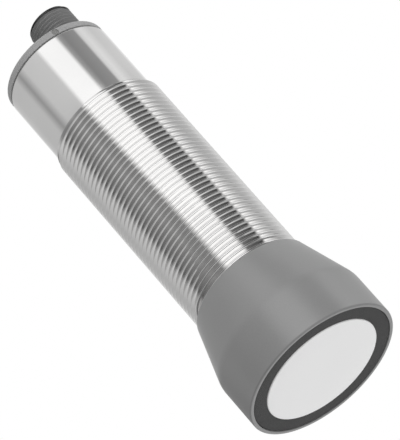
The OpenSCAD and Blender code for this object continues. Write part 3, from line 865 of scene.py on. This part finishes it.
# %% Spin the cap
groove_r, groove_z = cap_r - 0.5 * MM, barrel_top + 0.4 * MM
plug_r, plug_edge = bore_r - 0.05 * MM, 0.35 * MM
under_edge, lid_edge = 0.1 * MM, 0.7 * MM
cap_outline = [(0, plug_z), (plug_r - plug_edge, plug_z), (plug_r, plug_z + plug_edge)]
cap_outline += seal_groove(plug_r, bore_r - 0.94 * MM, "cap_seal", 0.47 * MM)
cap_outline += [(plug_r, barrel_top), (groove_r, barrel_top), (groove_r, groove_z),
                (cap_r - under_edge, groove_z)]
cap_outline += rounded(cap_r, groove_z, under_edge, -45, 0, 2)
cap_outline += rounded(cap_r, cap_top, lid_edge, 0, 90, 7)
cap_outline += [(0, cap_top)]
cap = spin_round("end_cap_moulding", cap_outline, steps=128)
print("cap:", len(cap.data.polygons), "faces")

# %% [markdown]
# The holes of the cap don't sit on the axis, so they can't be part of the spun outline. A drill is laid
# from a start point to an end point and taken away by a Boolean, whose exact solver keeps the result
# closed. There is a wide hole for the contact carrier, a wider seat for the connector's neck, a hole
# through which the resin was poured, and for each light guide an upright hole that turns outwards.

# %% Drill the cap


def drill(piece, r, start, end, steps):
    """Takes a round hole out of a piece, from one point to another."""
    way = end - start
    leave_selection()
    bpy.ops.mesh.primitive_cylinder_add(
        vertices=steps, radius=r, depth=way.length, location=(start + end) / 2,
        rotation=way.to_track_quat("Z", "Y").to_euler())
    tool = bpy.context.object
    take(piece)
    apply_modifier(piece, "BOOLEAN", operation="DIFFERENCE", solver="EXACT", object=tool)
    take(tool)
    bpy.ops.object.delete()


def drill_up(piece, r, x, y, bottom, top, steps):
    """Takes out an upright hole."""
    drill(piece, r, Vector((x, y, bottom)), Vector((x, y, top)), steps)


CARRIER_HOLE_R, POUR_HOLE_R, POUR_HOLE_X = 4.9 * MM, 3.8 * MM, -5.8 * MM
seat_r, seat_z = connector_r - 0.50 * MM, low("connector_seal").z - 0.02 * MM
drill_up(cap, CARRIER_HOLE_R, connector_x, 0, plug_z - MM, cap_top + MM, 64)
drill_up(cap, seat_r, connector_x, 0, seat_z, cap_top + MM, 96)
drill_up(cap, POUR_HOLE_R, POUR_HOLE_X, 0, plug_z - MM, plug_z + 5 * MM, 48)

GUIDE_HOLE_R, GUIDE_TURN_R, GUIDE_ANGLE = 0.86 * MM, 9.6 * MM, math.radians(68)
OVERLAP = 0.5 * MM
guide_z = groove_z + 0.8 * MM
for side in (-1, 1):
    out_way = Vector((math.cos(GUIDE_ANGLE), side * math.sin(GUIDE_ANGLE), 0))
    corner = out_way * GUIDE_TURN_R + Vector((0, 0, guide_z))
    drill(cap, GUIDE_HOLE_R, Vector((corner.x, corner.y, plug_z - MM)), corner + Vector((0, 0, OVERLAP)), 32)
    drill(cap, GUIDE_HOLE_R, corner - out_way * OVERLAP, corner + out_way * 6 * MM, 32)
stands_for(cap, "end_cap", "cap_grey", cap_plastic)

# %% [markdown]
# ## The connector
# The plug connector has a fine M12 thread, which is wound in the same way as the large one, beside the
# axis of the barrel.

# %% Wind the connector's thread
FINE_PITCH = 1.0 * MM
relief = 1.0 * MM
lead_bevel = 0.6 * MM
fine_root = connector_r - THREAD_DEPTH * FINE_PITCH
fine_z = cap_top + relief
rim_z = connector_top - 0.1 * MM


def connector_limit(z):
    """How far out the fine thread may reach: it starts at the relief and ends in a bevel."""
    start = fine_root + 0.02 * MM + max(0.0, z - fine_z)
    end = connector_r - lead_bevel + max(0.0, connector_top - z)
    return min(start, end)


shell = wind_thread("threaded_shell", connector_r, FINE_PITCH, fine_z, connector_top, x=connector_x)
cut_level(shell, rim_z, keep_below=True)
cut_level(shell, fine_z, keep_below=False)
turn_down(shell, connector_limit, x=connector_x)
print("fine thread:", len(shell.data.polygons), "faces")

# %% [markdown]
# Below the thread the shell has a narrow run and a neck that passes through the cap, above it a bevelled
# end, and inside the socket. All of that is one more outline, joined to the thread like before.

# %% Turn the rest of the shell
key_low, key_high = socket_z + 0.05 * MM, connector_top - 1.0 * MM
shell_neck_r = connector_r - 0.55 * MM
lining_r = socket_r - 0.15 * MM
mouth_edge = 0.15 * MM
top_r = fine_root - 0.02 * MM
shell_rest = [(top_r, rim_z), (top_r - 0.08 * MM, connector_top), (socket_r + mouth_edge, connector_top),
              (socket_r, connector_top - mouth_edge), (socket_r, key_high), (socket_r, key_low),
              (socket_r, socket_z), (lining_r, socket_z), (lining_r, shell_z), (shell_neck_r, shell_z),
              (shell_neck_r, cap_top), (fine_root, cap_top), (fine_root, fine_z)]
add_rest(shell, "shell_rest", shell_rest, (rim_z, fine_z), connector_x)
print("shell:", len(shell.data.polygons), "faces")

# %% [markdown]
# The coding key is a bar on one side of the socket's wall, so that the plug goes in only one way. The
# wall already has faces of its width and height, so those are selected by their place and extruded
# inwards, which needs no Boolean.

# %% Raise the coding key
KEY_HALF_WIDTH, KEY_DEPTH = 0.6 * MM, 0.8 * MM


def under_key(face):
    """Whether a face is on the strip of the socket's wall that the key stands on."""
    place = face.center
    inside = math.hypot(place.x - connector_x, place.y) < socket_r + 0.01 * MM
    facing = face.normal.x < -0.9 and place.x > connector_x
    return inside and facing and abs(place.y) < KEY_HALF_WIDTH and key_low < place.z < key_high


key_faces = [face for face in shell.data.polygons if under_key(face)]
print("faces of the key:", len(key_faces))
open_at(shell, key_faces, edges=False)
bpy.ops.mesh.extrude_region_move(TRANSFORM_OT_translate={"value": (-KEY_DEPTH, 0, 0)})
stands_for(shell, "connector_shell", "connector_dark", dark_shell, angle=50, flats=True)

# %% [markdown]
# ## Contacts
# In the socket stands a black contact carrier. It is spun and drilled, with four holes at the corners of
# a square round the one in the middle.

# %% The contact carrier
PIN_CIRCLE_R = 3.5 * MM
spread = PIN_CIRCLE_R * math.sqrt(0.5)
corners = [(spread, spread), (-spread, spread), (-spread, -spread), (spread, -spread)]
_, carrier_z, carrier_top = extent("connector_insert")
carrier_r = socket_r - 0.2 * MM
collar_r, collar_top = carrier_r + 0.45 * MM, carrier_z + 1.2 * MM
collar_edge, carrier_edge = 0.1 * MM, 0.15 * MM
pin_hole_r = 0.52 * MM
carrier_outline = [(pin_hole_r, carrier_z), (collar_r - collar_edge, carrier_z),
                   (collar_r, carrier_z + collar_edge), (collar_r, collar_top), (carrier_r, collar_top),
                   (carrier_r, carrier_top - carrier_edge), (carrier_r - carrier_edge, carrier_top),
                   (pin_hole_r, carrier_top), (pin_hole_r, carrier_z)]
carrier = spin_round("contact_carrier", carrier_outline, x=connector_x, steps=64)
for across, deep in corners:
    drill_up(carrier, pin_hole_r, connector_x + across, deep, carrier_z - MM, carrier_top + MM, 32)
stands_for(carrier, "connector_insert", "insert_black", carrier_black)

# %% [markdown]
# A pin is turned with a round tip, so one is spun on the connector's axis and copied to each corner,
# each copy with a mesh of its own.

# %% The pins
_, pin_z, pin_top = extent("contact_pin_5")
pin_r, pin_edge, tip_start, tip_edge = 0.5 * MM, 0.05 * MM, 0.3 * MM, 0.25 * MM
pin_outline = [(0, pin_z), (pin_r - pin_edge, pin_z), (pin_r, pin_z + pin_edge), (pin_r, pin_top - tip_start)]
pin_outline += rounded(pin_r, pin_top, tip_edge, 0, 90, 6)
pin_outline += [(0, pin_top)]
middle_pin = spin_round("plug_pin_5", pin_outline, x=connector_x, steps=32)
for number, (across, deep) in enumerate(corners, 1):
    take(middle_pin)
    bpy.ops.object.duplicate(linked=False)
    pin = bpy.context.object
    pin.name = pin.data.name = f"plug_pin_{number}"
    open_mesh(pin)
    bpy.ops.transform.translate(value=(across, deep, 0))
    stands_for(pin, f"contact_pin_{number}", "gold_pin", pin_gold, angle=40)
stands_for(middle_pin, "contact_pin_5", "gold_pin", pin_gold, angle=40)

# %% [markdown]
# ## The pieces inside
# The rest keeps the solids of the frame, whose shapes are right, and gets finishes. On the board, solder
# resist covers copper tracks, and small holes with tinned rims join its two faces. The tracks are
# upright lanes, and a stepped noise moves them sideways from place to place, as real tracks jog round
# the parts.

# %% The circuit board
LANES_PER_METRE, HOLES_PER_METRE = 900.0, 330.0
FACE_START, FACE_END = 0.78 * MM, 0.79 * MM
RESIST, OVER_TRACK = (0.02, 0.13, 0.05), (0.05, 0.26, 0.10)
TINNED_RIM, BARE_EDGE = (0.72, 0.70, 0.64), (0.42, 0.36, 0.18)


def dress(material, *names):
    """Gives solids of the frame their finish."""
    for name in names:
        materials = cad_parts[name].data.materials
        materials.clear()
        materials.append(material)


board = Finish("solder_resist")
x, y, z = board.parts()
stepped = {"X": board.math("SNAP", x, 4 * MM), "Z": board.math("SNAP", z, 2.5 * MM)}
level = board.add("ShaderNodeCombineXYZ", stepped)[0]
jog = board.math("SNAP", board.noise(420.0, 1, place=level), 0.1)
lane = board.math("PINGPONG", board.math("ADD", board.math("MULTIPLY", x, LANES_PER_METRE), jog), 0.5)
used = board.mask(board.noise(160.0, 2), 0.47, 0.5)
track = board.math("MULTIPLY", board.mask(lane, 0.27, 0.33), used)
spots = {"Vector": board.place(), "Scale": HOLES_PER_METRE, "Randomness": 0.55}
dots = board.add("ShaderNodeTexVoronoi", spots)
hole = board.between(dots["Distance"], 1, 0, 0.11, 0.13)
on_face = board.mask(board.math("ABSOLUTE", y), FACE_START, FACE_END)
coat = board.blend(hole, board.blend(track, RESIST, OVER_TRACK), TINNED_RIM)
board_green = board.done(board.blend(on_face, BARE_EDGE, coat), board.between(on_face, 0.7, 0.32),
                         board.bump(track, 0.03 * MM))
dress(board_green, "circuit_board")
print("made", board_green.name)

# %% [markdown]
# The chips, the output transistors and the small chip parts have a body in the middle and tinned metal
# at their ends. One shared effect says metal beyond a reach from the middle of a part. Parts in a row
# repeat after a step, and on the back of the board they may sit a little further along.

# %% Where the tinned ends are
ends = Effect("tin_ends", Middle_X=0.0, Reach_X=1.0, Middle_Z=0.0, Reach_Z=1.0, Step=2.0, Back_Shift=0.0)
x, y, z = ends.parts()
aside = ends.math("ABSOLUTE", ends.math("SUBTRACT", x, ends.given["Middle X"]))
shift = ends.math("MULTIPLY", ends.math("LESS_THAN", y, 0.0), ends.given["Back Shift"])
middle = ends.math("ADD", ends.given["Middle Z"], shift)
along = ends.math("PINGPONG", ends.math("SUBTRACT", z, middle), ends.math("DIVIDE", ends.given["Step"], 2.0))
TIN_ENDS = ends.gives("Mask", ends.math("MAXIMUM", ends.math("GREATER_THAN", aside, ends.given["Reach X"]),
                                        ends.math("GREATER_THAN", along, ends.given["Reach Z"])))


def tinned(name, base, rough, **reach):
    """A moulded or fired body with tinned ends."""
    mix = Finish(name)
    tin = mix.effect(TIN_ENDS, **reach)
    haze = mix.effect(CLOUDS, Scale=500)
    pits = mix.effect(MOULD_GRAIN, Scale=5000)
    body = mix.blend(haze, tone(base, 0.85), tone(base, 1.15))
    colour = mix.blend(tin, body, mix.blend(haze, grey(0.60), grey(0.70, 0.01)))
    return mix.done(colour, mix.between(tin, rough, 0.28), mix.bump(pits, 0.004 * MM), Metallic=tin)


LEAD = 0.72 * MM
for name in ("microcontroller", "echo_amplifier"):
    middle, half = middle_of(name), (high(name) - low(name)) / 2
    case = tinned(f"{name}_case", grey(0.03), 0.5, Middle_X=middle[0], Middle_Z=middle[2],
                  Reach_X=half.x - LEAD if name == "microcontroller" else 1.0, Reach_Z=half.z - LEAD)
    dress(case, name)
dress(tinned("transistor_case", grey(0.035), 0.45, Middle_Z=low("output_transistors").z + 3 * MM,
             Reach_Z=1.76 * MM, Step=9 * MM), "output_transistors")
dress(tinned("chip_part_body", (0.40, 0.30, 0.19), 0.6, Middle_Z=low("chip_parts").z + 1 * MM,
             Reach_Z=0.65 * MM, Step=4 * MM, Back_Shift=0.5 * MM), "chip_parts")
print("tinned parts dressed")

# %% [markdown]
# The transformer's winding is enamelled copper wire, wound round the upright middle leg of the core, so its
# turns are level lines a quarter of a millimetre apart, a bump and a darker tone where two turns meet, which
# is painted shade. The capacitor is a drawn can whose end carries a dark patch on its negative side.

# %% Winding, core, former and capacitor
TURNS_PER_METRE = 4000.0
COPPERS, SHADE_BETWEEN_TURNS = ((0.50, 0.19, 0.07), (0.62, 0.27, 0.11)), (0.12, 0.04, 0.02)
SLEEVE_TOP, PATCH_START, FOOT_HEIGHT = 0.3 * MM, 1.6 * MM, 6.4 * MM

wire = Finish("enamelled_copper")
turn = wire.math("PINGPONG", wire.math("MULTIPLY", wire.parts()[2], TURNS_PER_METRE), 0.5)
haze = wire.effect(CLOUDS, Scale=500)
# The dark tone between the turns is painted shade.
copper = wire.blend(wire.between(turn, 1, 0, 0.0, 0.2), wire.blend(haze, *COPPERS), SHADE_BETWEEN_TURNS)
enamelled = wire.done(copper, wire.between(haze, 0.28, 0.38), wire.bump(turn, 0.12 * MM), Metallic=1.0)
dress(enamelled, "transformer_winding")

ferrite = moulded("pressed_ferrite", grey(0.07), rough=0.5, grain=5000, depth=0.02, spread=0.15)
dress(ferrite, "transformer_core", "power_inductor")
dress(moulded("former_plastic", (0.05, 0.09, 0.06), rough=0.45), "transformer_bobbin")

can = Finish("drawn_can")
x, y, _ = can.parts()
can_x, can_end = middle_of("storage_capacitor")[0], high("storage_capacitor").y
brushed = can.effect(MOULD_GRAIN, Scale=6000)
patch = can.math("MULTIPLY", can.math("GREATER_THAN", y, can_end - SLEEVE_TOP),
                 can.math("GREATER_THAN", x, can_x + PATCH_START))
dark_part = can.math("MAXIMUM", patch, can.math("LESS_THAN", y, can_end - FOOT_HEIGHT))
drawn = can.done(can.blend(dark_part, can.blend(brushed, grey(0.62), grey(0.72)), grey(0.025)),
                 can.between(dark_part, 0.3, 0.55), can.bump(brushed, 0.003 * MM),
                 Metallic=can.between(dark_part, 1, 0))
dress(drawn, "storage_capacitor")
print("made", enamelled.name, ferrite.name, drawn.name)

# %% [markdown]
# The remaining pieces are simple bodies of one stuff each, told apart by colour, polish and the size of
# their grain. The guides are clear on the real sensor, but they end on a dark housing, and that darkness
# is what shows at the joint of the cap.

# %% Disc, resins, seals, sleeve, lamps and guides
fired_silver = metal_finish("fired_silver", ((0.66, 0.64, 0.60), (0.78, 0.77, 0.74)), (0.36, 0.52), 250,
                            (MOULD_GRAIN, {"Scale": 3500}), 0.01, metallic=0.85)
dress(fired_silver, "piezo_disc")
dress(moulded("cast_resin", (0.16, 0.13, 0.12), 0.55, 1800, 0.02, 0.15), "damping_puck")
dress(moulded("potting_resin", (0.045, 0.05, 0.065), 0.2, 600, 0.01, Coat_Weight=0.4, Coat_Roughness=0.08),
      "potting_plug")
dress(moulded("sleeve_film", (0.72, 0.66, 0.48), 0.35, 900, 0.004), "insulating_sleeve")
rubber = moulded("black_rubber", grey(0.022), 0.55, 6000, 0.003, 0.15)
dress(rubber, "head_seal", "cap_seal", "connector_seal")
lamp = moulded("lamp_lens", (0.80, 0.42, 0.04), 0.18, 2500, 0.003, Coat_Weight=0.5, Coat_Roughness=0.05)
dress(lamp, "indicator_led_1", "indicator_led_2")
guide = moulded("guide_plastic", (0.23, 0.23, 0.225), 0.2, 1500, 0.002, Coat_Weight=0.6, Coat_Roughness=0.04)
dress(guide, "light_guide_1", "light_guide_2")
print("made", fired_silver.name, rubber.name, lamp.name, guide.name)

# %% [markdown]
# The wires keep the colours that such sensors use, so that each can be followed from pin to board.

# %% The wires
WIRE_COLOURS = {
    "signal_wire": {"brown": (0.17, 0.065, 0.025), "white": (0.78, 0.78, 0.75), "blue": (0.02, 0.07, 0.38),
                    "black": (0.02, 0.02, 0.02), "grey": (0.23, 0.23, 0.24)},
    "transducer_lead": {"red": (0.48, 0.02, 0.015), "dark": (0.022, 0.022, 0.024)},
}
for kind, colours in WIRE_COLOURS.items():
    for number, (shade, colour) in enumerate(colours.items(), 1):
        dress(moulded(f"{shade}_insulation", colour, 0.36, 4500, 0.002, 0.08), f"{kind}_{number}")
    print(kind, "in", *colours)
